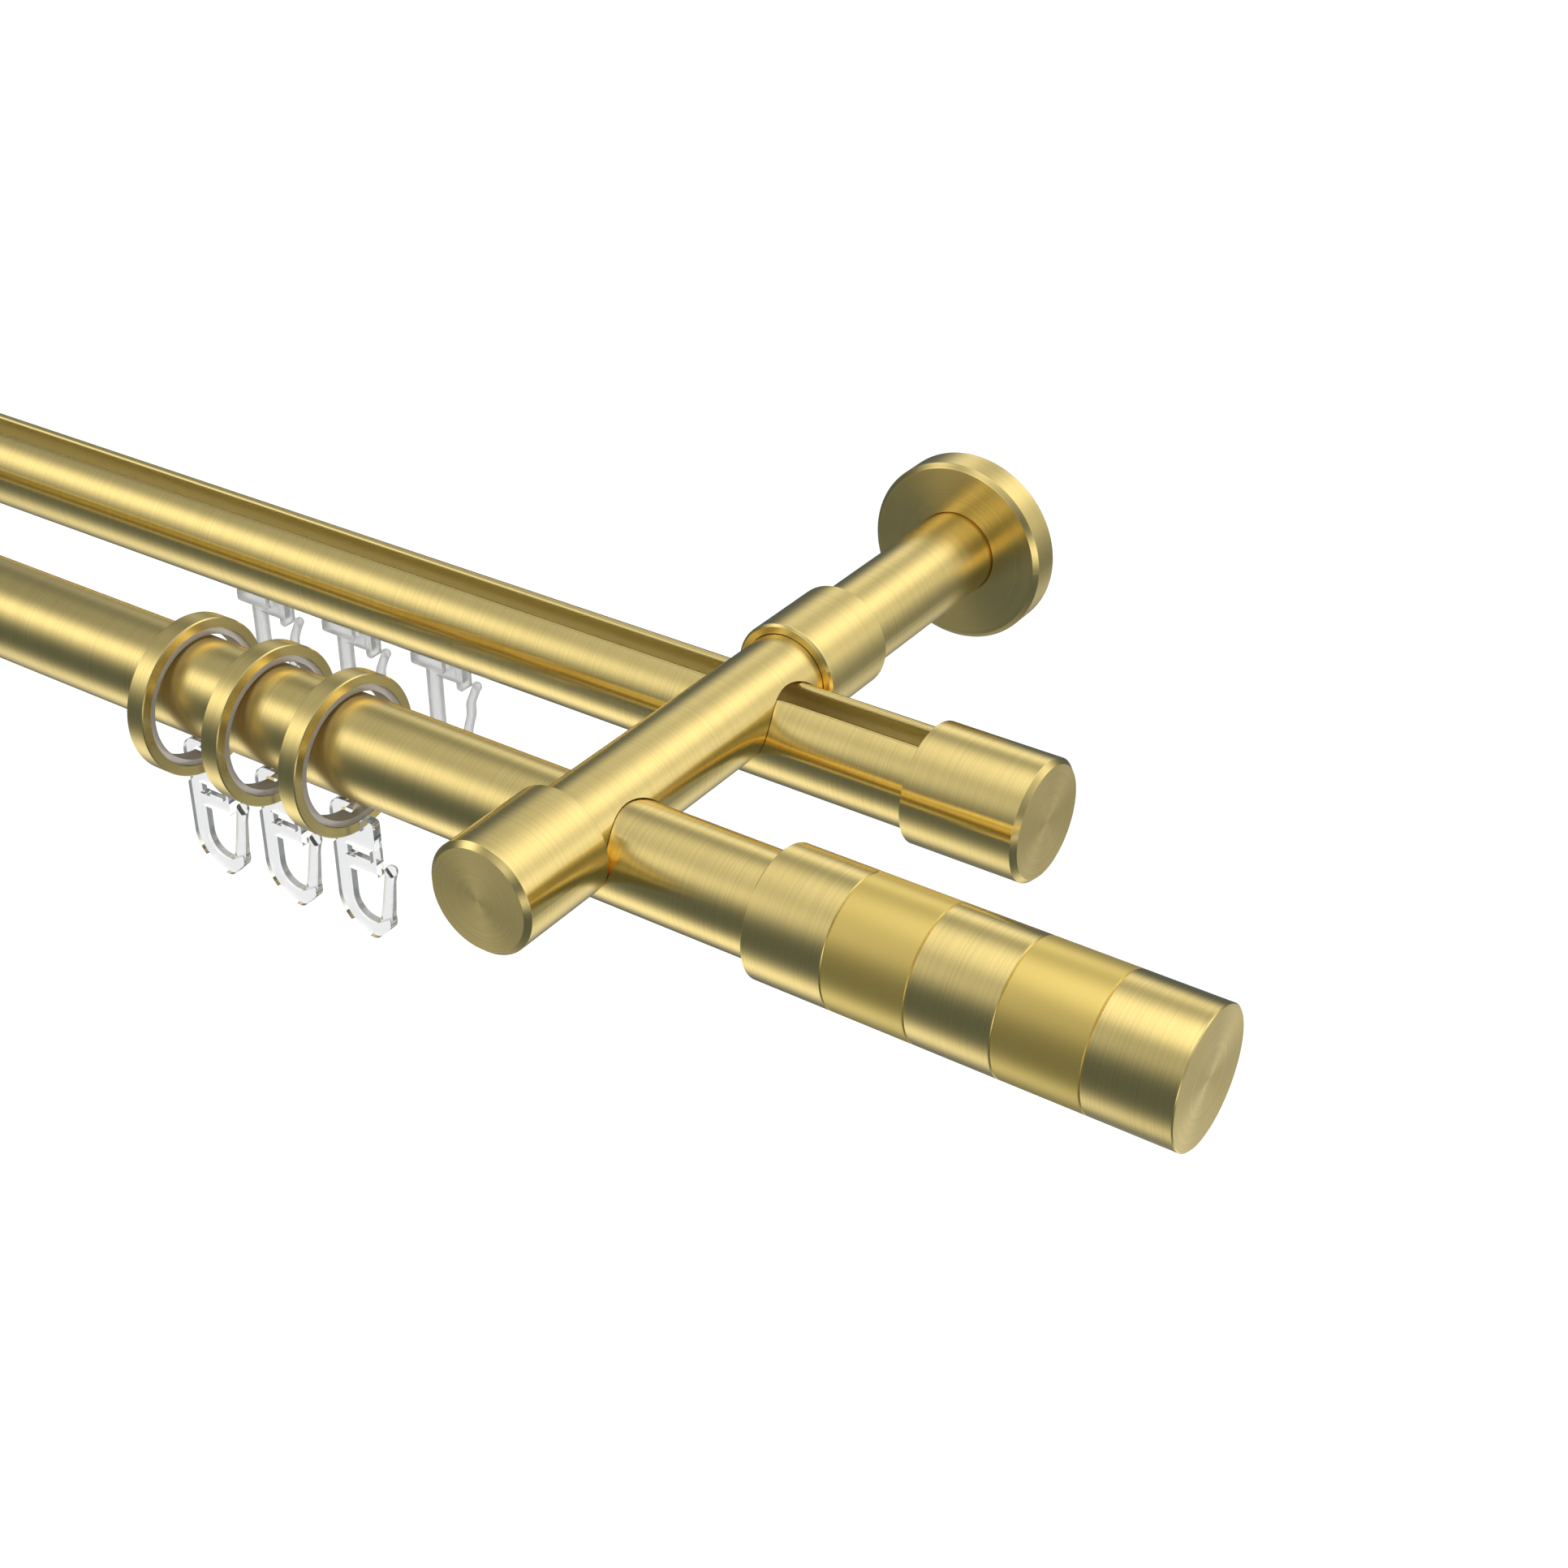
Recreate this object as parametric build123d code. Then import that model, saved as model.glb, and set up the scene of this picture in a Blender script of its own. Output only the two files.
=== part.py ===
from build123d import *
import os
from math import sqrt

os.makedirs("parts", exist_ok=True)

# The wall is the plane Y = 0. The bracket bar runs along Y towards the room, which is -Y.
# The front rod and the inner-run rail run along X, and +X is the end with the finial. Z is up.

# Where the axes lie
ROD_REACH = 132.0        # wall to the axis of the front rod
RAIL_REACH = 82.0        # wall to the axis of the rail
AXIS_DROP = 5.0          # rod and rail axes below the axis of the bracket bar
OPEN_END = 260.0         # bracket axis to the plain cut ends of rod and rail
END_PIECES_AT = 40.0     # bracket axis to the finial and to the rail's end cap

# Rod and rail
ROD_D = 20.0
ROD_WALL = 1.0
ROD_INTO_FINIAL = 7.0
RAIL_D = 20.0
RAIL_WALL = 1.3
RAIL_WEB = 1.5
RAIL_SLOT = 6.0
RAIL_THROAT_H = 3.0      # a slot is cut to this depth below the rail's crown
RAIL_LIP_R = 0.9         # rounding of a slot's outer edges
RAIL_INTO_CAP = 19.0

# Wall bracket
BAR_D = 18.0
PLATE_D = 40.0
PLATE_T = 7.0
PLATE_EDGE = 1.0
PLATE_GROOVE = 0.4       # shadow groove round the arm, width and depth
SLEEVE_WALL = 1.87
SLEEVE_L = 19.8
SLEEVE_EDGE = 0.5
SLEEVE_OVERLAP = 10.0    # length of the sleeve that sits on the wall arm
CAP_WALL = 1.9
CAP_L = 21.8
CAP_EDGE = 1.0
CAP_FRONT_WALL = 3.0

# Finial of five turned rings on a core
FINIAL_WALL = 2.4        # round the end of the rod
FINIAL_RINGS = 5
FINIAL_RING_L = 16.0
FINIAL_SEAM = 0.2        # bevel on each ring's edges, which meet as a fine groove
FINIAL_CORE_D = 16.0     # core that the rings are threaded onto
FINIAL_END_WALL = 8.0

# End cap of the rail
RAIL_CAP_WALL = 1.9
RAIL_CAP_L = 24.0
RAIL_CAP_EDGE = 1.0
RAIL_CAP_END_WALL = 4.0

# Threads, as nominal diameters
WALL_BOLT_D = 8.0
WALL_BOLT_CORE_D = 6.8
WALL_BOLT_DEPTH = 25.0
STUD_D = 8.0
STUD_INTO_ARM = 12.0
CLAMP_D = 6.0
CLAMP_L = 16.0
LOCK_D = 4.0
TIP_SHARE = 0.4          # flat tip of a clamping screw as a share of its diameter
CONE_SHARE = 0.7         # the same for a lock screw, of its radius
SOCKET_R_SHARE = 0.28    # hexagon socket: corner radius and depth, of the diameter
SOCKET_DEEP_SHARE = 0.4
LOCK_SINK = 0.3          # head of a lock screw below the surface round it
LOCK_BITE = 2.0          # tip of a lock screw below the surface of the bar

# Gaps
FIT_GAP = 0.1            # radial, between pieces that are fitted and stay put
SLEEVE_GAP = 0.13
THREAD_GAP = 0.05
SADDLE_GAP = 0.2
TIP_GAP = 0.1
FACE_GAP = 0.2           # between a turned end and the rod or rail beside it
RUN_GAP = 0.3            # between pieces that slide on each other

# Curtain rings: brass-coloured ring, plastic liner, clear pleat hook
RING_COUNT = 3
RING_FIRST_AT = 60.1     # bracket axis to the nearest ring
RING_SPACING = 20.0
RING_D = 32.9
RING_W = 4.4
RING_T = 2.1
RING_EDGE = 0.2
LINER_W = 4.0
LINER_T = 1.3

# Pleat hook, in the plane of the rod: u along the rod from the ring's middle, w up
HOOK_T = 2.0
HOOK_CLIP_GAP = 0.15
HOOK_ARM_H = 2.2         # thickness of the arm that lies over the liner
HOOK_ARM_R = 0.66
HOOK_ARM_REACH = 0.9     # end of that arm past the ring's middle
HOOK_LEFT = 5.5          # back of the hook behind the ring's middle
HOOK_CLIP_R = 3.5
HOOK_LEG_W = 3.6
HOOK_SHOULDER = 0.8
HOOK_SHOULDER_BELOW = 5.3
HOOK_POST_W = 3.4
HOOK_POST_RISE = 3.0
HOOK_POST_R = 0.85
HOOK_WINDOW_H = 2.6
HOOK_WINDOW_POST = 1.6
HOOK_WINDOW_INTO_LEG = 0.5
HOOK_BRIDGE_H = 4.2
HOOK_TONGUE_H = 2.95
HOOK_TONGUE_R = 0.34
HOOK_DROP = 25.0         # lowest point of the hook below the ring
HOOK_BOTTOM_H = 3.75
HOOK_BACK_R = 8.25       # outside curve from the back leg into the bottom
HOOK_INNER_R = 4.5
HOOK_HEEL_IN = 4.0       # slant from the bottom up to the foot of the front leg
HOOK_HEEL_R = 2.6
HOOK_FOOT_BACK = 1.0     # outside of the foot behind the bend of the front leg
HOOK_FOOT_R = 2.2
HOOK_FOOT_UP = 2.5       # foot above the inside of the bottom
HOOK_FOOT_W = 3.4        # width of the front leg at its foot
HOOK_ROOT_H = 1.2        # front leg sunk into the bottom by this
HOOK_RIGHT = 8.9         # bend of the front leg past the ring's middle
HOOK_FRONT_T = 1.5
HOOK_FRONT_W = 2.1
HOOK_FRONT_LEAN = 3.0    # the front leg leans out by this from its foot to its head
HOOK_INNER_BEND_UP = 5.5 # bends of the front leg above its foot
HOOK_OUTER_BEND_UP = 10.9
HOOK_FRONT_INNER_R = 6.0
HOOK_FRONT_OUTER_R = 4.0
HOOK_BALL_D = 2.7
HOOK_BALL_DROP = 7.6     # ball centre below the ring

# Gliders of the inner-run rail, one moulding each
GLIDER_COUNT = 3
GLIDER_FIRST_AT = 83.0   # bracket axis to the stem of the nearest glider
GLIDER_SPACING = 25.5
GLIDER_HEAD_W = 9.0
GLIDER_HEAD_H = 2.4
GLIDER_HEAD_L = 8.0
GLIDER_HEAD_R = 1.2
GLIDER_BAR_L = 8.8
GLIDER_BAR_W = 4.4
GLIDER_BAR_H = 4.0
GLIDER_BAR_R = 1.2
GLIDER_T = 2.2
GLIDER_STEM_W = 2.6
GLIDER_WEB_L = 9.2       # stem axis to the front face of the tab
GLIDER_WEB_H = 5.2
GLIDER_TAB_W = 1.8
GLIDER_TAB_H = 6.6
GLIDER_TAB_T = 2.9
GLIDER_TAB_R = 0.54
GLIDER_DROP = 26.2       # lowest point below the rail
GLIDER_STEM_RISE = 7.8   # foot of the thick stem above the lowest point
GLIDER_BACK_R = 5.8
GLIDER_INNER_R = 3.7
GLIDER_FOOT_R = 3.7
GLIDER_FOOT_INNER_R = 2.1
GLIDER_LEG_T = 1.4
GLIDER_LEG_W = 1.6
GLIDER_LEG_AT = 8.4      # stem axis to the middle of the front leg at its foot
GLIDER_TIP_LEAN = 3.4
GLIDER_WAIST_LEAN = 1.4
GLIDER_WAVE_UP = (6.4, 10.9, 13.7)
GLIDER_WAVE_R = (5.0, 4.0, 4.0)
GLIDER_TIP_DROP = 5.4    # tip of the front leg below the rail
GLIDER_BALL_D = 2.2

ALONG_X = Rot(0, 90, 0)
ALONG_Y = Rot(-90, 0, 0)

bar_r = BAR_D / 2
rod_r = ROD_D / 2
rail_r = RAIL_D / 2
ring_r = RING_D / 2
liner_r = ring_r - RING_T - FIT_GAP / 2
liner_bore_r = liner_r - LINER_T
# Turned pieces are as thick as their walls outside the bar, rod or rail that they fit over
sleeve_d = BAR_D + 2 * (SLEEVE_GAP + SLEEVE_WALL)
cap_d = BAR_D + 2 * (FIT_GAP + CAP_WALL)
finial_d = ROD_D + 2 * (FIT_GAP + FINIAL_WALL)
rail_cap_d = RAIL_D + 2 * (FIT_GAP + RAIL_CAP_WALL)
rod_y = -ROD_REACH
rail_y = -RAIL_REACH
axis_z = -AXIS_DROP
# A ring hangs on the rod by its liner, with the running gap between them
ring_z = axis_z - (liner_bore_r - rod_r - RUN_GAP)


def turned(corners, place):
    """Solid of revolution about the local Z axis; a corner is (radius, station)."""
    outline = Polyline(*[(radius, 0, station) for radius, station in corners], close=True)
    return place * revolve(make_face(outline), Axis.Z, 360)


def cylinder_x(radius, start, end, y, z):
    return Pos((start + end) / 2, y, z) * ALONG_X * Cylinder(radius, end - start)


def cylinder_y(radius, start, end, x=0.0, z=0.0):
    return Pos(x, (start + end) / 2, z) * ALONG_Y * Cylinder(radius, end - start)


def flat_outline(corners, place=Plane.XZ):
    """Face with its corners rounded; a corner is (u, w, radius) and 0 keeps it sharp."""
    face = make_face(Polyline(*[(u, w) for u, w, radius in corners], close=True))
    for u, w, radius in corners:
        if radius:
            corner = face.vertices().sort_by_distance((u, w, 0))[0]
            face = fillet(corner, radius)
    return place * face


def blade(corners, thickness):
    """Flat moulded shape in the XZ plane, centred on Y = 0."""
    return extrude(flat_outline(corners), thickness / 2, both=True)


def grub_screw(diameter, length, place, tip_d=0.0):
    """Headless screw from station 0, with a hexagon socket, to its cone or flat tip."""
    radius = diameter / 2 - THREAD_GAP
    tip_r = tip_d / 2 if tip_d else radius * CONE_SHARE
    cone = radius - tip_r
    body = turned([(0, 0), (radius, 0), (radius, length - cone), (tip_r, length), (0, length)], Pos(0, 0, 0))
    socket_deep = min(diameter * SOCKET_DEEP_SHARE, length / 2)
    socket = extrude(RegularPolygon(diameter * SOCKET_R_SHARE, 6), socket_deep)
    return place * (body - socket)


def lock_hole(place, depth):
    """Tapped hole for a lock screw, from station 0."""
    return place * Pos(0, 0, depth / 2) * Cylinder(LOCK_D / 2, depth)


def save(name, shape, colour):
    shape.label = name
    shape.color = Color(*colour)
    export_step(shape, f"parts/{name}.step")


BRASS = (0.80, 0.69, 0.40)
STEEL = (0.55, 0.55, 0.57)
LINER_GREY = (0.62, 0.56, 0.50)
CLEAR = (0.92, 0.93, 0.94)
MILKY = (0.88, 0.88, 0.88)


# Stations along Y, from the wall to the room
bar_start = -(RAIL_REACH - rail_r - FACE_GAP - (SLEEVE_L - SLEEVE_OVERLAP))
sleeve_front = rail_y + rail_r + FACE_GAP
sleeve_back = sleeve_front + SLEEVE_L
cap_back = rod_y - rod_r - FACE_GAP
cap_front = cap_back - CAP_L
bar_front = cap_front + CAP_FRONT_WALL + FIT_GAP
sleeve_lock_y = (bar_start + sleeve_back) / 2
cap_lock_y = (cap_back + bar_front) / 2


def tangent_reach(radius, tip_r):
    """How far the face of a rod stands from its axis at the lower edge of a screw tip."""
    height = max(AXIS_DROP - tip_r, 0)
    return sqrt(radius ** 2 - height ** 2)


stud_tip_d = STUD_D * TIP_SHARE
clamp_tip_d = CLAMP_D * TIP_SHARE
stud_front = rail_y + tangent_reach(rail_r, stud_tip_d / 2) + TIP_GAP
clamp_back = rod_y - tangent_reach(rod_r, clamp_tip_d / 2) - TIP_GAP


def lock_place_below(y, outer_d):
    """Place of a lock screw that enters a turned piece from below, pointing up."""
    return Pos(0, y, LOCK_SINK - outer_d / 2)


def make_wall_plate():
    bore = bar_r + FIT_GAP
    groove = bar_r + PLATE_GROOVE
    radius = PLATE_D / 2
    corners = [
        (bore, 0),
        (radius, 0),
        (radius, PLATE_T - PLATE_EDGE),
        (radius - PLATE_EDGE, PLATE_T),
        (groove, PLATE_T),
        (groove, PLATE_T - PLATE_GROOVE),
        (bore, PLATE_T - PLATE_GROOVE),
    ]
    return turned(corners, Rot(90, 0, 0))


def make_wall_arm():
    arm = cylinder_y(bar_r, bar_start, 0)
    bolt_hole = cylinder_y(WALL_BOLT_CORE_D / 2, -WALL_BOLT_DEPTH, 0)
    stud_hole = cylinder_y(STUD_D / 2, bar_start, bar_start + STUD_INTO_ARM + TIP_GAP)
    lock = lock_hole(lock_place_below(sleeve_lock_y, sleeve_d), lock_length(sleeve_d) + TIP_GAP)
    return arm - bolt_hole - stud_hole - lock


def lock_length(outer_d):
    """Lock screw from just under the outer surface to its seat in the bar."""
    return (outer_d - BAR_D) / 2 - LOCK_SINK + LOCK_BITE


def make_bracket_bar():
    bar = cylinder_y(bar_r, bar_front, bar_start)
    rod_saddle = cylinder_x(rod_r + SADDLE_GAP, -BAR_D, BAR_D, rod_y, axis_z)
    rail_saddle = cylinder_x(rail_r + SADDLE_GAP, -BAR_D, BAR_D, rail_y, axis_z)
    stud_hole = cylinder_y(STUD_D / 2, rail_y, bar_start)
    clamp_hole = cylinder_y(CLAMP_D / 2, bar_front, rod_y)
    lock = lock_hole(lock_place_below(cap_lock_y, cap_d), lock_length(cap_d) + TIP_GAP)
    return bar - rod_saddle - rail_saddle - stud_hole - clamp_hole - lock


def make_sleeve():
    bore = bar_r + SLEEVE_GAP
    radius = sleeve_d / 2
    corners = [
        (bore, 0),
        (radius - SLEEVE_EDGE, 0),
        (radius, SLEEVE_EDGE),
        (radius, SLEEVE_L - SLEEVE_EDGE / 2),
        (radius - SLEEVE_EDGE / 2, SLEEVE_L),
        (bore, SLEEVE_L),
    ]
    sleeve = turned(corners, Pos(0, sleeve_front, 0) * ALONG_Y)
    return sleeve - lock_hole(Pos(0, sleeve_lock_y, -sleeve_d / 2 - FIT_GAP), sleeve_d / 2)


def make_front_cap():
    bore = bar_r + FIT_GAP
    radius = cap_d / 2
    corners = [
        (0, 0),
        (radius - CAP_EDGE, 0),
        (radius, CAP_EDGE),
        (radius, CAP_L),
        (bore, CAP_L),
        (bore, CAP_FRONT_WALL),
        (0, CAP_FRONT_WALL),
    ]
    cap = turned(corners, Pos(0, cap_front, 0) * ALONG_Y)
    return cap - lock_hole(Pos(0, cap_lock_y, -cap_d / 2 - FIT_GAP), cap_d / 2)


def make_joining_stud():
    length = bar_start + STUD_INTO_ARM - stud_front
    place = Pos(0, bar_start + STUD_INTO_ARM, 0) * Rot(90, 0, 0)
    return grub_screw(STUD_D, length, place, stud_tip_d)


def make_rod_clamp_screw():
    return grub_screw(CLAMP_D, CLAMP_L, Pos(0, clamp_back - CLAMP_L, 0) * ALONG_Y, clamp_tip_d)


def make_front_rod():
    end = END_PIECES_AT + ROD_INTO_FINIAL
    outside = cylinder_x(rod_r, -OPEN_END, end, rod_y, axis_z)
    return outside - cylinder_x(rod_r - ROD_WALL, -OPEN_END, end, rod_y, axis_z)


def finial_ring_corners(index):
    """Half section of one ring; the first takes the rod's end and the last is closed."""
    radius = finial_d / 2
    bore = FINIAL_CORE_D / 2 + FIT_GAP
    seat = rod_r + FIT_GAP
    outside = [(radius - FINIAL_SEAM, 0), (radius, FINIAL_SEAM), (radius, FINIAL_RING_L - FINIAL_SEAM)]
    outside.append((radius - FINIAL_SEAM, FINIAL_RING_L))
    if index == 0:
        step = ROD_INTO_FINIAL + FIT_GAP
        return [(seat, 0)] + outside + [(bore, FINIAL_RING_L), (bore, step), (seat, step)]
    if index == FINIAL_RINGS - 1:
        floor = FINIAL_RING_L - FINIAL_END_WALL
        return [(bore, 0)] + outside + [(0, FINIAL_RING_L), (0, floor), (bore, floor)]
    return [(bore, 0)] + outside + [(bore, FINIAL_RING_L)]


def make_finial_ring(index):
    start = END_PIECES_AT + index * FINIAL_RING_L
    ring = turned(finial_ring_corners(index), Pos(start, rod_y, axis_z) * ALONG_X)
    if index == 0:
        depth = finial_d / 2
        ring -= lock_hole(Pos(finial_lock_x, rod_y, axis_z - finial_d / 2 - FIT_GAP), depth)
    return ring


finial_lock_x = END_PIECES_AT + ROD_INTO_FINIAL / 2


def make_finial_core():
    start = END_PIECES_AT + ROD_INTO_FINIAL + FACE_GAP
    end = END_PIECES_AT + FINIAL_RINGS * FINIAL_RING_L - FINIAL_END_WALL - FIT_GAP
    return cylinder_x(FINIAL_CORE_D / 2, start, end, rod_y, axis_z)


def make_finial_screw():
    length = finial_d / 2 - LOCK_SINK - rod_r - TIP_GAP
    place = Pos(finial_lock_x, rod_y, axis_z - finial_d / 2 + LOCK_SINK)
    return grub_screw(LOCK_D, length, place)


def rail_slot(side):
    """Straight slot through the crown (side 1) or the underside (side -1) of the section."""
    return Pos(0, side * rail_r) * Rectangle(RAIL_SLOT, 2 * RAIL_THROAT_H)


def on_rail_lip(corner):
    """True for a corner where a slot meets the rail's outside."""
    return abs(corner.X) < RAIL_SLOT and Vector(corner.X, corner.Y).length > rail_r - RAIL_WALL / 2


def rail_section():
    """Round section with a web across the middle and a slot along the top and the bottom."""
    outside = Circle(rail_r)
    hollow = Circle(rail_r - RAIL_WALL) - Rectangle(RAIL_D, RAIL_WEB)
    section = outside - hollow - rail_slot(1) - rail_slot(-1)
    return fillet(section.vertices().filter_by(on_rail_lip), RAIL_LIP_R)


def make_rail():
    end = END_PIECES_AT + RAIL_INTO_CAP
    plane = Plane(origin=(-OPEN_END, rail_y, axis_z), x_dir=(0, 1, 0), z_dir=(1, 0, 0))
    return extrude(plane * rail_section(), OPEN_END + end)


rail_lock_x = END_PIECES_AT + (RAIL_CAP_L - RAIL_CAP_END_WALL) / 2


def make_rail_end_cap():
    bore = rail_r + FIT_GAP
    radius = rail_cap_d / 2
    depth = RAIL_CAP_L - RAIL_CAP_END_WALL
    corners = [
        (bore, 0),
        (radius, 0),
        (radius, RAIL_CAP_L - RAIL_CAP_EDGE),
        (radius - RAIL_CAP_EDGE, RAIL_CAP_L),
        (0, RAIL_CAP_L),
        (0, depth),
        (bore, depth),
    ]
    cap = turned(corners, Pos(END_PIECES_AT, rail_y, axis_z) * ALONG_X)
    back = Pos(rail_lock_x, rail_y + rail_cap_d / 2 + FIT_GAP, axis_z) * Rot(90, 0, 0)
    return cap - lock_hole(back, rail_cap_d / 2)


def make_rail_cap_screw():
    length = rail_cap_d / 2 - LOCK_SINK - rail_r - TIP_GAP
    place = Pos(rail_lock_x, rail_y + rail_cap_d / 2 - LOCK_SINK, axis_z) * Rot(90, 0, 0)
    return grub_screw(LOCK_D, length, place)


def make_ring(x):
    half = RING_W / 2
    inner = ring_r - RING_T
    corners = [
        (inner, -half),
        (ring_r - RING_EDGE, -half),
        (ring_r, RING_EDGE - half),
        (ring_r, half - RING_EDGE),
        (ring_r - RING_EDGE, half),
        (inner, half),
    ]
    return turned(corners, Pos(x, rod_y, ring_z) * ALONG_X)


def make_liner(x):
    half = LINER_W / 2
    corners = [(liner_bore_r, -half), (liner_r, -half), (liner_r, half), (liner_bore_r, half)]
    return turned(corners, Pos(x, rod_y, ring_z) * ALONG_X)


def hook_body_corners():
    """Outline of clip, window frame, back leg and bottom, with the ring's middle as its origin."""
    arm_under = HOOK_CLIP_GAP - liner_bore_r
    clip_side = RING_W / 2 + HOOK_CLIP_GAP
    clip_floor = -ring_r - HOOK_CLIP_GAP
    post_right = clip_side + HOOK_POST_W
    post_top = clip_floor + HOOK_POST_RISE
    shoulder = -ring_r - HOOK_SHOULDER_BELOW
    tongue_under = clip_floor - HOOK_BRIDGE_H - HOOK_WINDOW_H - HOOK_TONGUE_H
    bottom = -ring_r - HOOK_DROP
    floor = bottom + HOOK_BOTTOM_H
    leg_inner = HOOK_LEG_W - HOOK_LEFT
    foot_right = HOOK_RIGHT - HOOK_FOOT_BACK
    heel = foot_right - HOOK_HEEL_IN
    return [
        (HOOK_ARM_REACH, arm_under + HOOK_ARM_H, HOOK_ARM_R),
        (-HOOK_LEFT, arm_under + HOOK_ARM_H, HOOK_CLIP_R),
        (-HOOK_LEFT, clip_floor, 0),
        (HOOK_SHOULDER - HOOK_LEFT, shoulder + HOOK_SHOULDER, 0),
        (-HOOK_LEFT, shoulder, 0),
        (-HOOK_LEFT, bottom, HOOK_BACK_R),
        (heel, bottom, HOOK_HEEL_R),
        (foot_right, bottom + HOOK_HEEL_IN, HOOK_FOOT_R),
        (foot_right, floor + HOOK_FOOT_UP, 0),
        (heel, floor, 0),
        (leg_inner, floor, HOOK_INNER_R),
        (leg_inner, tongue_under, 0),
        (post_right, tongue_under, HOOK_TONGUE_R),
        (post_right, post_top, HOOK_POST_R),
        (clip_side, post_top, HOOK_POST_R),
        (clip_side, clip_floor, 0),
        (-clip_side, clip_floor, 0),
        (-clip_side, arm_under, 0),
        (HOOK_ARM_REACH, arm_under, HOOK_ARM_R),
    ]


def hook_window():
    """Rectangular eye between the bridge and the tongue."""
    left = HOOK_LEG_W - HOOK_LEFT - HOOK_WINDOW_INTO_LEG
    right = RING_W / 2 + HOOK_CLIP_GAP + HOOK_POST_W - HOOK_WINDOW_POST
    top = -ring_r - HOOK_CLIP_GAP - HOOK_BRIDGE_H
    return [(left, top, 0), (left, top - HOOK_WINDOW_H, 0), (right, top - HOOK_WINDOW_H, 0), (right, top, 0)]


def hook_front_leg():
    """Springy front leg, thinner than the body and rooted in its bottom."""
    foot = -ring_r - HOOK_DROP + HOOK_BOTTOM_H
    head = -ring_r - HOOK_BALL_DROP
    outer = HOOK_RIGHT - HOOK_FOOT_BACK
    inner = outer - HOOK_FOOT_W
    return [
        (inner, foot - HOOK_ROOT_H, 0),
        (inner + HOOK_FRONT_LEAN / 2, foot + HOOK_INNER_BEND_UP, HOOK_FRONT_INNER_R),
        (inner + HOOK_FRONT_LEAN, head, 0),
        (inner + HOOK_FRONT_LEAN + HOOK_FRONT_W, head, 0),
        (HOOK_RIGHT, foot + HOOK_OUTER_BEND_UP, HOOK_FRONT_OUTER_R),
        (outer, foot + HOOK_ROOT_H, 0),
    ]


def make_ring_hook(x):
    body = blade(hook_body_corners(), HOOK_T) - blade(hook_window(), HOOK_T)
    leg = blade(hook_front_leg(), HOOK_FRONT_T)
    ball_u = HOOK_RIGHT - HOOK_FOOT_BACK - HOOK_FOOT_W + HOOK_FRONT_LEAN + HOOK_FRONT_W / 2
    ball = Pos(ball_u, 0, -ring_r - HOOK_BALL_DROP) * Sphere(HOOK_BALL_D / 2)
    return Pos(x, rod_y, ring_z) * (body + leg + ball)


def glider_body_corners():
    """Stem, U bottom and waved front leg; origin on the rail's axis over the stem."""
    half = GLIDER_STEM_W / 2
    bottom = -rail_r - GLIDER_DROP
    floor = bottom + GLIDER_STEM_W
    top = -rail_r - RUN_GAP - GLIDER_BAR_H / 2
    tip = -rail_r - GLIDER_TIP_DROP
    side = GLIDER_LEG_W / 2
    foot = GLIDER_LEG_AT
    waist = foot + GLIDER_WAIST_LEAN
    head = foot + GLIDER_TIP_LEAN
    stations = list(zip((foot, waist, waist), GLIDER_WAVE_UP, GLIDER_WAVE_R))
    front = [(u + side, floor + up, radius) for u, up, radius in stations]
    back = [(u - side, floor + up, radius) for u, up, radius in reversed(stations)]
    return [
        (-half, top, 0),
        (-half, bottom, GLIDER_BACK_R),
        (foot + side, bottom, GLIDER_FOOT_R),
        *front,
        (head + side, tip, 0),
        (head - side, tip, 0),
        *back,
        (foot - side, floor, GLIDER_FOOT_INNER_R),
        (half, floor, GLIDER_INNER_R),
        (half, top, 0),
    ]


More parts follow.
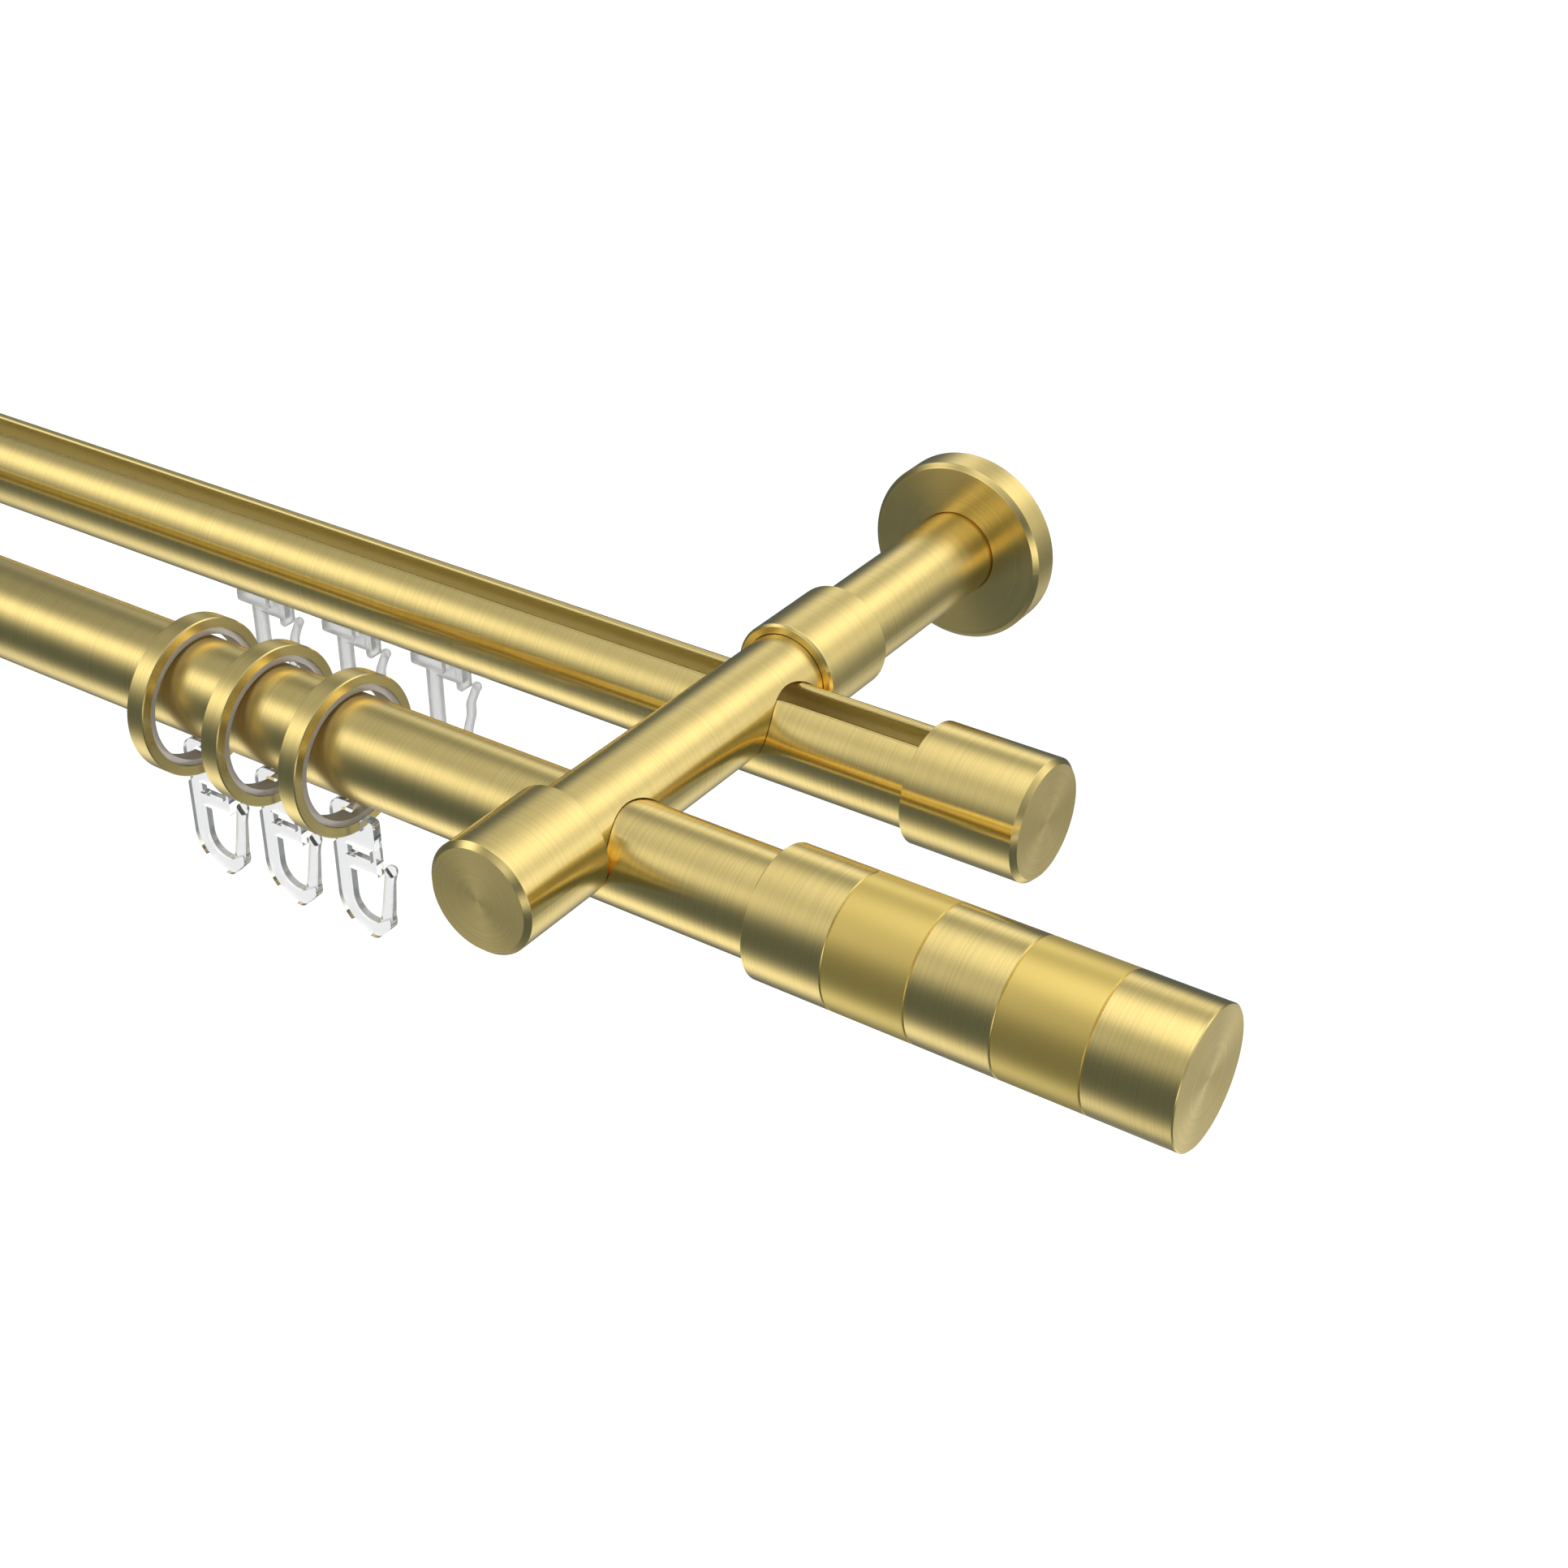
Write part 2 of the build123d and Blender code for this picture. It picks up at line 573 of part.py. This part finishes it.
def make_glider(x):
    under_rail = -rail_r - RUN_GAP
    inner_r = rail_r - RAIL_WALL
    head_base = RUN_GAP - sqrt(inner_r ** 2 - (GLIDER_HEAD_W / 2) ** 2)
    head = Pos(0, 0, head_base + GLIDER_HEAD_H / 2) * Box(GLIDER_HEAD_L, GLIDER_HEAD_W, GLIDER_HEAD_H)
    head = fillet(head.edges().filter_by(Axis.Z), GLIDER_HEAD_R)
    neck_w = RAIL_SLOT - 2 * RUN_GAP
    neck_h = head_base - under_rail + GLIDER_HEAD_H / 2
    neck = Pos(0, 0, under_rail + neck_h / 2) * Box(GLIDER_BAR_W, neck_w - RUN_GAP, neck_h)
    bar = Box(GLIDER_BAR_L, GLIDER_BAR_W, GLIDER_BAR_H)
    bar = fillet(bar.edges().filter_by(Axis.X) + bar.edges().filter_by(Axis.Y), GLIDER_BAR_R)
    bar = Pos(0, 0, under_rail - GLIDER_BAR_H / 2) * bar
    web_l = GLIDER_WEB_L - GLIDER_TAB_W / 2
    web = Pos(web_l / 2, 0, under_rail - GLIDER_WEB_H / 2) * Box(web_l, GLIDER_T, GLIDER_WEB_H)
    tab_x = GLIDER_WEB_L - GLIDER_TAB_W / 2
    tab = Box(GLIDER_TAB_W, GLIDER_TAB_T, GLIDER_TAB_H)
    tab = fillet(tab.edges().filter_by(Axis.Y), GLIDER_TAB_R)
    tab = Pos(tab_x, 0, under_rail - GLIDER_TAB_H / 2) * tab
    loop = blade(glider_body_corners(), GLIDER_LEG_T)
    bottom = -rail_r - GLIDER_DROP
    stem_h = under_rail - GLIDER_BAR_H / 2 - bottom - GLIDER_STEM_RISE
    stem = Pos(0, 0, under_rail - GLIDER_BAR_H / 2 - stem_h / 2) * Box(GLIDER_STEM_W, GLIDER_T, stem_h)
    ball = Pos(GLIDER_LEG_AT + GLIDER_TIP_LEAN, 0, -rail_r - GLIDER_TIP_DROP) * Sphere(GLIDER_BALL_D / 2)
    return Pos(x, rail_y, axis_z) * (head + neck + bar + web + tab + loop + stem + ball)


save("wall_plate", make_wall_plate(), BRASS)
save("wall_arm", make_wall_arm(), BRASS)
save("bracket_bar", make_bracket_bar(), BRASS)
save("sleeve", make_sleeve(), BRASS)
save("front_cap", make_front_cap(), BRASS)
save("joining_stud", make_joining_stud(), STEEL)
save("rod_clamp_screw", make_rod_clamp_screw(), STEEL)
sleeve_screw = grub_screw(LOCK_D, lock_length(sleeve_d), lock_place_below(sleeve_lock_y, sleeve_d))
cap_screw = grub_screw(LOCK_D, lock_length(cap_d), lock_place_below(cap_lock_y, cap_d))
save("sleeve_screw", sleeve_screw, STEEL)
save("front_cap_screw", cap_screw, STEEL)
save("front_rod", make_front_rod(), BRASS)
save("finial_core", make_finial_core(), BRASS)
save("finial_screw", make_finial_screw(), STEEL)
for index in range(FINIAL_RINGS):
    save(f"finial_ring_{index + 1}", make_finial_ring(index), BRASS)
save("rail", make_rail(), BRASS)
save("rail_end_cap", make_rail_end_cap(), BRASS)
save("rail_cap_screw", make_rail_cap_screw(), STEEL)
for index in range(RING_COUNT):
    ring_x = -RING_FIRST_AT - RING_SPACING * index
    save(f"ring_{index + 1}", make_ring(ring_x), BRASS)
    save(f"ring_liner_{index + 1}", make_liner(ring_x), LINER_GREY)
    save(f"ring_hook_{index + 1}", make_ring_hook(ring_x), CLEAR)
for index in range(GLIDER_COUNT):
    save(f"glider_{index + 1}", make_glider(-GLIDER_FIRST_AT - GLIDER_SPACING * index), MILKY)
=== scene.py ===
# %% [markdown]
# A brass-toned curtain rod on its wall bracket, dressed for a studio picture.
# The measured solids come in as a fixed frame, so nothing here has to be fitted or moved.
# What Blender adds is the finish: brushed and turned metal, clear and milky plastic.
# Floor, light and camera stand round it as in a catalogue studio.

# %% Load the measured frame
from math import cos, pi, radians, sin

import bpy
from mathutils import Matrix

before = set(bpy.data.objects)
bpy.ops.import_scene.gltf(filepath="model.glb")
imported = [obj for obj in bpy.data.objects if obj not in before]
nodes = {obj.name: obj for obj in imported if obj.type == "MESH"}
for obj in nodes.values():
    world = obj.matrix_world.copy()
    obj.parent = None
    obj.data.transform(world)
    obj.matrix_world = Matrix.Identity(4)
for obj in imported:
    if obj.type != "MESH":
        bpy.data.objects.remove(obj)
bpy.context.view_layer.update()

# %% [markdown]
# Blender's shaders mix light in linear numbers, while a maker's colour card gives screen values.
# One function turns a six-figure screen colour into linear light, and every colour passes it.

# %% Turn a screen colour into linear light
def colour(code):
    """Linear RGBA of a screen colour such as "C8B46C"."""
    screen = [int(code[i:i + 2], 16) / 255 for i in (0, 2, 4)]
    linear = [c / 12.92 if c <= 0.04045 else ((c + 0.055) / 1.055) ** 2.4 for c in screen]
    return (*linear, 1.0)


print("mid grey", [round(c, 3) for c in colour("808080")])

# %% [markdown]
# Finishes, floor and sky are all small graphs of nodes.
# One helper adds a node, gives it its settings, and fills its sockets with numbers or links.

# %% Add one node with its settings and links
def add(tree, kind, sockets=None, **settings):
    """A new node; sockets maps an input to a number, an output, or a node's first output."""
    made = tree.nodes.new(kind)
    for name, value in settings.items():
        setattr(made, name, value)
    for name, value in (sockets or {}).items():
        if isinstance(value, bpy.types.Node):
            value = value.outputs[0]
        if isinstance(value, bpy.types.NodeSocket):
            tree.links.new(value, made.inputs[name])
        else:
            made.inputs[name].default_value = value
    return made


def new_material(name):
    """An empty material and its graph."""
    material = bpy.data.materials.new(name)
    material.use_nodes = True
    material.node_tree.nodes.clear()
    return material, material.node_tree


print("helpers ready")

# %% [markdown]
# The photograph is a catalogue picture on pure white, with the rod floating in front of it.
# A wall would hide the back of the plate, so the rod hangs over a pale floor far below.
# At that distance the floor takes no hard shadow.
# It is kept out of reflections and of clear plastic, which would show it as flat white.

# %% Pale floor
FLOOR_Z = -0.75
FLOOR_HALF = 14.0


def make_floor():
    """One large square, painted matt white."""
    corners = [(-1, -1), (1, -1), (1, 1), (-1, 1)]
    places = [(x * FLOOR_HALF, y * FLOOR_HALF, FLOOR_Z) for x, y in corners]
    mesh = bpy.data.meshes.new("floor")
    mesh.from_pydata(places, [], [(0, 1, 2, 3)])
    floor = bpy.data.objects.new("floor", mesh)
    bpy.context.scene.collection.objects.link(floor)
    floor.visible_glossy = False
    floor.visible_transmission = False
    material, tree = new_material("matt white painted floor")
    paint = add(tree, "ShaderNodeBsdfDiffuse", {"Color": colour("F4F4F4"), "Roughness": 0.6})
    add(tree, "ShaderNodeOutputMaterial", {"Surface": paint})
    mesh.materials.append(material)


make_floor()
print("floor at", FLOOR_Z)

# %% [markdown]
# Brushed metal has hardly any colour of its own in shade: it shows what stands around it.
# The bands along the tubes are soft lamps and the dark gaps between them.
# So the sky is built from soft lamps, which could also be panels, but those have hard edges.
# A lamp fades out round its centre; at its spread angle it has lost two fifths of its light.
# Clear plastic shows what is behind it, so light that goes straight through sees plain white.
# Light that a wall inside the plastic throws aside sees the dim studio instead.
# That draws the narrow sides of the hooks grey.

# %% Soft lamps all round
SKY_BASE = 0.130
SKY_TINT = "E6F8FF"
LAMP_TINT = "FFFAEA"


def make_sky():
    """The world: a dim bluish room with soft lamps, and plain white for the camera."""
    world = bpy.data.worlds.new("soft studio")
    bpy.context.scene.world = world
    world.use_nodes = True
    tree = world.node_tree
    tree.nodes.clear()
    view = add(tree, "ShaderNodeTexCoord").outputs["Generated"]
    light = 0.0

    def lamp(azimuth, height, brightness, spread):
        """Adds one lamp; azimuth 0 is the room side of the rod and 90 its finial end."""
        nonlocal light
        a, h = radians(azimuth), radians(height)
        towards = (sin(a) * cos(h), -cos(a) * cos(h), sin(h))
        facing = add(tree, "ShaderNodeVectorMath", {0: view, 1: towards}, operation="DOT_PRODUCT")
        tight = 1 / radians(spread) ** 2
        fade = add(tree, "ShaderNodeMath", {0: facing.outputs["Value"], 1: tight, 2: -tight},
                   operation="MULTIPLY_ADD")
        glow = add(tree, "ShaderNodeMath", {0: fade}, operation="EXPONENT")
        light = add(tree, "ShaderNodeMath", {0: glow, 1: brightness, 2: light},
                    operation="MULTIPLY_ADD")

    lamp(-10, 72, 1.10, 11)  # thin band near the top of the finial
    lamp(-159, 82, 1.60, 17)  # broad band along the top of rod and rail
    lamp(-58, 32, 1.12, 10.5)  # main band on the front of the rod
    lamp(-46, 25, 0.56, 12.5)  # the same band on the finial
    lamp(-68, -54, 1.17, 13)  # light line low on every tube
    lamp(112, 10, 0.91, 18)  # main band of the bracket bar
    lamp(125, 15, 0.54, 7)  # its bright core
    lamp(155, 38, 1.32, 14)  # upper band of the bracket bar
    lamp(-152, 24, 0.97, 10)  # rear side of the bracket bar
    lamp(154, -56, 0.90, 15)  # underside of the bracket bar
    lamp(57, -6, 1.38, 9)  # end faces that look along the rod
    lamp(17, 34, 0.77, 12.5)  # edges of cap and plate that look into the room
    lamps = add(tree, "ShaderNodeBackground", {"Color": colour(LAMP_TINT), "Strength": light})
    shade = add(tree, "ShaderNodeBackground", {"Color": colour(SKY_TINT), "Strength": SKY_BASE})
    studio = add(tree, "ShaderNodeAddShader", {0: lamps, 1: shade})

    plain = add(tree, "ShaderNodeBackground", {"Color": colour("FFFFFF"), "Strength": 1.0})
    ray = add(tree, "ShaderNodeLightPath").outputs
    unreflected = add(tree, "ShaderNodeMath", {0: ray["Glossy Depth"], 1: 0.5},
                      operation="LESS_THAN")
    through = add(tree, "ShaderNodeMath", {0: ray["Is Transmission Ray"], 1: unreflected},
                  operation="MULTIPLY")
    straight = add(tree, "ShaderNodeMath", {0: ray["Is Camera Ray"], 1: through},
                   operation="MAXIMUM")
    mixed = add(tree, "ShaderNodeMixShader", {0: straight, 1: studio, 2: plain})
    add(tree, "ShaderNodeOutputWorld", {"Surface": mixed})
    print("sky nodes", len(tree.nodes))


make_sky()

# %% [markdown]
# One broad panel overhead lights the floor, the liners and the plastic, and shades them softly.
# It doesn't show in the metal, whose reflections are already set by the soft lamps.

# %% Overhead panel
PANEL_AT = (-1.0, 1.5, 3.0)
PANEL_SIZE = 8.0
PANEL_WATTS = 240.0


def make_panel():
    """A square lamp that faces straight down."""
    light = bpy.data.lights.new("overhead panel", "AREA")
    light.shape = "SQUARE"
    light.size = PANEL_SIZE
    light.energy = PANEL_WATTS
    light.color = colour("F2F6FF")[:3]
    panel = bpy.data.objects.new("overhead panel", light)
    panel.location = PANEL_AT
    panel.visible_glossy = False
    bpy.context.scene.collection.objects.link(panel)


make_panel()
print("panel power", PANEL_WATTS)

# %% [markdown]
# The camera stands where the photograph was taken: to the right, in front and above the rod.
# Its place, angles and focal length come from the straight edges and the round ends.

# %% Camera
CAMERA_AT = (0.2289, -0.4112, 0.2324)
CAMERA_AZIMUTH = 34.01
CAMERA_DOWN = 32.134
CAMERA_ROLL = 0.09
LENS_MM = 55.42
SENSOR_MM = 36.0


def make_camera():
    """Turned about the upright, then tilted down, then rolled."""
    data = bpy.data.cameras.new("camera")
    data.lens = LENS_MM
    data.sensor_width = SENSOR_MM
    data.clip_start = 0.01
    camera = bpy.data.objects.new("camera", data)
    camera.location = CAMERA_AT
    turn = Matrix.Rotation(radians(CAMERA_AZIMUTH), 3, "Z")
    tilt = Matrix.Rotation(pi / 2 - radians(CAMERA_DOWN), 3, "X")
    roll = Matrix.Rotation(radians(CAMERA_ROLL), 3, "Z")
    camera.rotation_euler = (turn @ tilt @ roll).to_euler()
    bpy.context.scene.collection.objects.link(camera)
    bpy.context.scene.camera = camera


make_camera()
print("camera at", CAMERA_AT)

# %% [markdown]
# Screen colours go out as they are, so that white stays white.
# A ray may cross many walls of clear plastic before it gets out, so it is allowed many steps.

# %% View and light steps
scene = bpy.context.scene
scene.view_settings.view_transform = "Standard"
scene.cycles.max_bounces = 24
scene.cycles.glossy_bounces = 12
scene.cycles.transmission_bounces = 20
print("light steps", scene.cycles.max_bounces)

# %% [markdown]
# The metal is aluminium, anodised in a brass colour after it was brushed on a lathe.
# Brushing leaves fine grooves that run round each tube, and rings on each turned end face.
# The grooves could be painted as an image, but they follow two distances only.
# These are the station along the axis and the radius from it, so the graph works them out.

# %% Measure station and radius round an axis
MM = 0.001


def mask(axis):
    """One along the named axis and zero across it."""
    return tuple(1.0 if letter == axis else 0.0 for letter in "XYZ")


def station_and_radius(tree, axis, centre):
    """Distance along an axis, distance from it, and the direction away from it."""
    place = add(tree, "ShaderNodeTexCoord").outputs["Object"]
    local = add(tree, "ShaderNodeVectorMath", {0: place, 1: centre}, operation="SUBTRACT")
    along = add(tree, "ShaderNodeVectorMath", {0: local, 1: mask(axis)}, operation="DOT_PRODUCT")
    level = tuple(1.0 - m for m in mask(axis))
    across = add(tree, "ShaderNodeVectorMath", {0: local, 1: level}, operation="MULTIPLY")
    radius = add(tree, "ShaderNodeVectorMath", {0: across}, operation="LENGTH")
    outward = add(tree, "ShaderNodeVectorMath", {0: across}, operation="NORMALIZE")
    return along.outputs["Value"], radius.outputs["Value"], outward.outputs[0]


print("along X", mask("X"))

# %% [markdown]
# Noise that is read at station and radius alone gives one value all the way round: a groove.
# A little of the outward direction is added, so that a groove fades in and out on its way.
# Real brushing is about 0.05 mm from line to line, which is too fine to show in the picture.
# The lines are therefore drawn 0.27 mm apart, and the patches of uneven pressure 2.6 mm.

# %% Grooves that run round
GROOVE_MM = 0.27
PATCH_MM = 2.6


def grooves_round(tree, along, radius, outward, spacing_mm, swirl):
    """Noise stretched into grooves; swirl is how much they change on the way round."""
    stations = add(tree, "ShaderNodeCombineXYZ", {0: along, 1: radius, 2: 0.0})
    scaled = add(tree, "ShaderNodeVectorMath", {0: stations, "Scale": 1 / (spacing_mm * MM)},
                 operation="SCALE")
    drift = add(tree, "ShaderNodeVectorMath", {0: outward, "Scale": swirl}, operation="SCALE")
    where = add(tree, "ShaderNodeVectorMath", {0: scaled, 1: drift}, operation="ADD")
    return add(tree, "ShaderNodeTexNoise",
               {"Vector": where, "Scale": 1.0, "Detail": 2.0, "Roughness": 0.6})


print("grooves", GROOVE_MM, "mm, patches", PATCH_MM, "mm")

# %% [markdown]
# A groove scatters light across itself and hardly along itself, which is called anisotropy.
# To the eye a lamp becomes a long band along the tube, and a neighbouring part a soft blur.
# Principled takes one roughness and one amount of stretch.
# Here a finish is given as two slopes instead, across the grooves and along them.
# Those can be seen and compared: turned end faces carry feed marks, which scatter more.
# The Mix node numbers its sockets: 2 and 3 take numbers, 6 and 7 take colours.

# %% Roughness of brushed and turned faces
END_FACE_ACROSS = 0.16
END_FACE_TILT = 0.98
UNEVEN = 0.004


def groove_shine(tree, axis, across, aspect, patches):
    """Roughness from the slope across the grooves, higher on end faces, a little uneven."""
    facing = add(tree, "ShaderNodeNewGeometry").outputs["Normal"]
    tilt = add(tree, "ShaderNodeVectorMath", {0: facing, 1: mask(axis)}, operation="DOT_PRODUCT")
    steep = add(tree, "ShaderNodeMath", {0: tilt.outputs["Value"]}, operation="ABSOLUTE")
    end_face = add(tree, "ShaderNodeMath", {0: steep, 1: END_FACE_TILT},
                   operation="GREATER_THAN")
    brushed, turned = (across * aspect) ** 0.5, (END_FACE_ACROSS * aspect) ** 0.5
    base = add(tree, "ShaderNodeMix", {"Factor": end_face, 2: brushed, 3: turned},
               data_type="FLOAT")
    uneven = add(tree, "ShaderNodeMapRange", {
        "Value": patches, "From Min": 0.3, "From Max": 0.7, "To Min": -UNEVEN, "To Max": UNEVEN})
    return add(tree, "ShaderNodeMath", {0: base, 1: uneven}, operation="ADD")


print("end faces scatter", END_FACE_ACROSS)

# %% [markdown]
# Inside the rail's slot nobody brushes, so the metal there is as it was drawn: dull and plain.
# There is no need for a second material, because the radius tells the inside from the outside.

# %% Bare metal inside the slot
BARE_TONE = "F6EBC0"
BARE_ROUGHNESS = 0.38


def leave_inside_bare(tree, radius, inside_mm, tint, shine, depth):
    """Colour, roughness and groove depth, with the bare metal's own below a radius."""
    brushed = add(tree, "ShaderNodeMath", {0: radius, 1: inside_mm * MM},
                  operation="GREATER_THAN")
    tint = add(tree, "ShaderNodeMix", {"Factor": brushed, 6: colour(BARE_TONE), 7: tint},
               data_type="RGBA").outputs[2]
    shine = add(tree, "ShaderNodeMix", {"Factor": brushed, 2: BARE_ROUGHNESS, 3: shine},
                data_type="FLOAT")
    depth = add(tree, "ShaderNodeMath", {0: brushed, 1: depth}, operation="MULTIPLY")
    return tint, shine, depth


print("bare inside", BARE_TONE)

# %% [markdown]
# Now the metal itself. Anodised aluminium takes its colour in its clear skin.
# Against soft lamps that skin looks pale gold, and olive where it mirrors the dim room.
# Edges are rounded with the Bevel node, so that each catches a thin line of light.
# Fine blasting breaks the grooves up and throws part of the light all round: that is the haze.

# %% Brushed and turned metal
BRASS_TONE = "FBE39C"
EDGE_MM = 0.1
GROOVE_DEPTH_MM = 0.002
GROOVE_RELIEF = 0.25
HAZE_ROUGHNESS = 0.85
FULL_STRETCH = 0.9  # Principled's own share: aspect squared is 1 - 0.9 x Anisotropic


def brushed_metal(name, axis, centre, tone=BRASS_TONE, across=0.10, along_groove=0.02,
                  line=0.08, haze=0.0, bare_inside_mm=0.0):
    """Anodised aluminium; line is how strongly grooves show, haze the share that scatters."""
    material, tree = new_material(name)
    along, radius, outward = station_and_radius(tree, axis, centre)
    fine = grooves_round(tree, along, radius, outward, GROOVE_MM, 0.4)
    patches = grooves_round(tree, along, radius, outward, PATCH_MM, 0.8)
    streak = add(tree, "ShaderNodeMapRange", {
        "Value": fine, "From Min": 0.25, "From Max": 0.75, "To Min": 1 - line, "To Max": 1 + line})
    tint = add(tree, "ShaderNodeVectorMath", {0: colour(tone)[:3], "Scale": streak},
               operation="SCALE")
    aspect = (along_groove / across) ** 0.5
    shine = groove_shine(tree, axis, across, aspect, patches)
    depth = GROOVE_RELIEF
    if bare_inside_mm:
        tint, shine, depth = leave_inside_bare(tree, radius, bare_inside_mm, tint, shine, depth)

    edges = add(tree, "ShaderNodeBevel", {"Radius": EDGE_MM * MM}, samples=6)
    relief = add(tree, "ShaderNodeBump", {
        "Height": fine, "Strength": depth, "Distance": GROOVE_DEPTH_MM * MM, "Normal": edges})
    around = add(tree, "ShaderNodeTangent", direction_type="RADIAL", axis=axis)
    surface = add(tree, "ShaderNodeBsdfPrincipled", {
        "Base Color": tint,
        "Metallic": 1.0,
        "Roughness": shine,
        "Anisotropic": (1 - aspect ** 2) / FULL_STRETCH,
        "Anisotropic Rotation": 0.25,
        "Normal": relief,
        "Tangent": around,
    })
    if haze:
        scatter = add(tree, "ShaderNodeBsdfPrincipled", {
            "Base Color": tint, "Metallic": 1.0, "Roughness": HAZE_ROUGHNESS, "Normal": edges})
        surface = add(tree, "ShaderNodeMixShader", {0: haze, 1: surface, 2: scatter})
    add(tree, "ShaderNodeOutputMaterial", {"Surface": surface})
    return material


def dress(material, *names):
    """Gives a finish to carried-over nodes."""
    for name in names:
        for slot in nodes[name].material_slots:
            slot.link = "OBJECT"
            slot.material = material
    print(material.name, "on", ", ".join(names))


# %% [markdown]
# The front rod is a drawn tube, brushed all round: long calm bands with a faint grain across.
# The rail is brushed alike, with bare metal inside its slots, below 9.2 mm from its axis.

# %% Rod and rail
ROD_AXIS = (0.0, -0.132, -0.005)
RAIL_AXIS = (0.0, -0.082, -0.005)
RAIL_INSIDE_MM = 9.2

tube_finish = brushed_metal("brushed anodised aluminium tube", "X", ROD_AXIS)
dress(tube_finish, "front_rod", "finial_core")
rail_finish = brushed_metal("brushed anodised aluminium rail", "X", RAIL_AXIS,
                            bare_inside_mm=RAIL_INSIDE_MM)
dress(rail_finish, "rail")
dress(brushed_metal("turned anodised aluminium rail cap", "X", RAIL_AXIS), "rail_end_cap")

# %% [markdown]
# The finial is five rings on a core. Three were brushed on the lathe a little more strongly.
# The two between them were fine-blasted before anodising, so they look even, soft and yellower.

# %% Finial
SATIN_TONE = "FFE792"

ring_finish = brushed_metal("brushed anodised aluminium finial ring", "X", ROD_AXIS, line=0.09)
dress(ring_finish, "finial_ring_1", "finial_ring_3", "finial_ring_5")
satin_finish = brushed_metal("blasted anodised aluminium finial ring", "X", ROD_AXIS,
                             SATIN_TONE, along_groove=0.08, line=0.01, haze=0.35)
dress(satin_finish, "finial_ring_2", "finial_ring_4")

# %% [markdown]
# The bracket's bar, sleeve, cap and plate were all turned on one axis, which runs to the wall.
# The curtain rings hang a little low on the rod, so they have an axis of their own.

# %% Bracket and curtain rings
BAR_AXIS = (0.0, 0.0, 0.0)
RING_AXIS = (0.0, -0.132, -0.0077)

bracket_finish = brushed_metal("brushed anodised aluminium bracket", "Y", BAR_AXIS)
dress(bracket_finish, "bracket_bar", "wall_arm", "sleeve", "front_cap", "wall_plate")
hoop_finish = brushed_metal("turned anodised aluminium curtain ring", "X", RING_AXIS)
dress(hoop_finish, "ring_1", "ring_2", "ring_3")

# %% [markdown]
# The smaller pieces have no grooves but a fine grain, left by the plating bath or the mould.
# One function makes them all: noise varies the roughness, and can also stand out as relief.
# Their real grain is near 0.1 mm; it is drawn coarser, since it wouldn't show otherwise.

# %% Plated and moulded surfaces
GRAIN_HEIGHT_MM = 0.01


def grained(name, grain_mm, detail, rough, relief, sockets):
    """A finish with grain; rough is its least and most roughness, relief its strength."""
    material, tree = new_material(name)
    place = add(tree, "ShaderNodeTexCoord").outputs["Object"]
    grain = add(tree, "ShaderNodeTexNoise",
                {"Vector": place, "Scale": 1 / (grain_mm * MM), "Detail": detail})
    shine = add(tree, "ShaderNodeMapRange",
                {"Value": grain, "To Min": rough[0], "To Max": rough[1]})
    surface = add(tree, "ShaderNodeBsdfPrincipled", {"Roughness": shine, **sockets})
    if relief:
        bump = add(tree, "ShaderNodeBump", {
            "Height": grain, "Strength": relief, "Distance": GRAIN_HEIGHT_MM * MM})
        tree.links.new(bump.outputs[0], surface.inputs["Normal"])
    add(tree, "ShaderNodeOutputMaterial", {"Surface": surface})
    return material


print("grain height", GRAIN_HEIGHT_MM, "mm")

# %% [markdown]
# The screws are steel with a thin coat of zinc from a bath: bright, slightly blue and mottled.
# They sit deep in their holes, so little of that is seen.

# %% Screws
zinc = grained("zinc plated steel", 1.1, 2.0, (0.22, 0.42), 0.4,
               {"Base Color": colour("B9BCC2"), "Metallic": 1.0})
dress(zinc, "joining_stud", "rod_clamp_screw", "sleeve_screw", "front_cap_screw",
      "finial_screw", "rail_cap_screw")

# %% [markdown]
# Each curtain ring has a moulded liner that keeps metal off metal.
# It is acetal in a warm grey, matt and slippery, and the brass behind shows faintly through it.

# %% Liners
acetal = grained("moulded acetal liner", 0.7, 3.0, (0.30, 0.44), 0.2,
                 {"Base Color": colour("E6DED6"), "IOR": 1.48, "Transmission Weight": 0.7})
dress(acetal, "ring_liner_1", "ring_liner_2", "ring_liner_3")

# %% [markdown]
# The pleat hooks are moulded in clear polycarbonate, so they show little but their edges.
# The mould was polished, and the roughness only drifts slowly, as the melt flowed.
# The gliders are moulded in natural nylon, which lets light through but blurs it: milky white.

# %% Clear and milky plastic
polycarbonate = grained("moulded clear polycarbonate", 8.3, 1.0, (0.0, 0.01), 0.0, {
    "Base Color": colour("FAFAFB"), "IOR": 1.58, "Transmission Weight": 0.97})
dress(polycarbonate, "ring_hook_1", "ring_hook_2", "ring_hook_3")
nylon = grained("moulded natural nylon", 3.3, 2.0, (0.42, 0.54), 0.0, {
    "Base Color": colour("FDFDFE"), "IOR": 1.53, "Transmission Weight": 0.85})
dress(nylon, "glider_1", "glider_2", "glider_3")

# %% [markdown]
# One function turns a box into lists of plain numbers. The dressed model has to stay
# inside the box of the measured solids.
# Both boxes are written down, so that they can be compared after each render.

# %% A box as plain numbers
def plain(box):
    """A box as lists of plain numbers."""
    return [[round(float(v), 6) for v in corner] for corner in box]
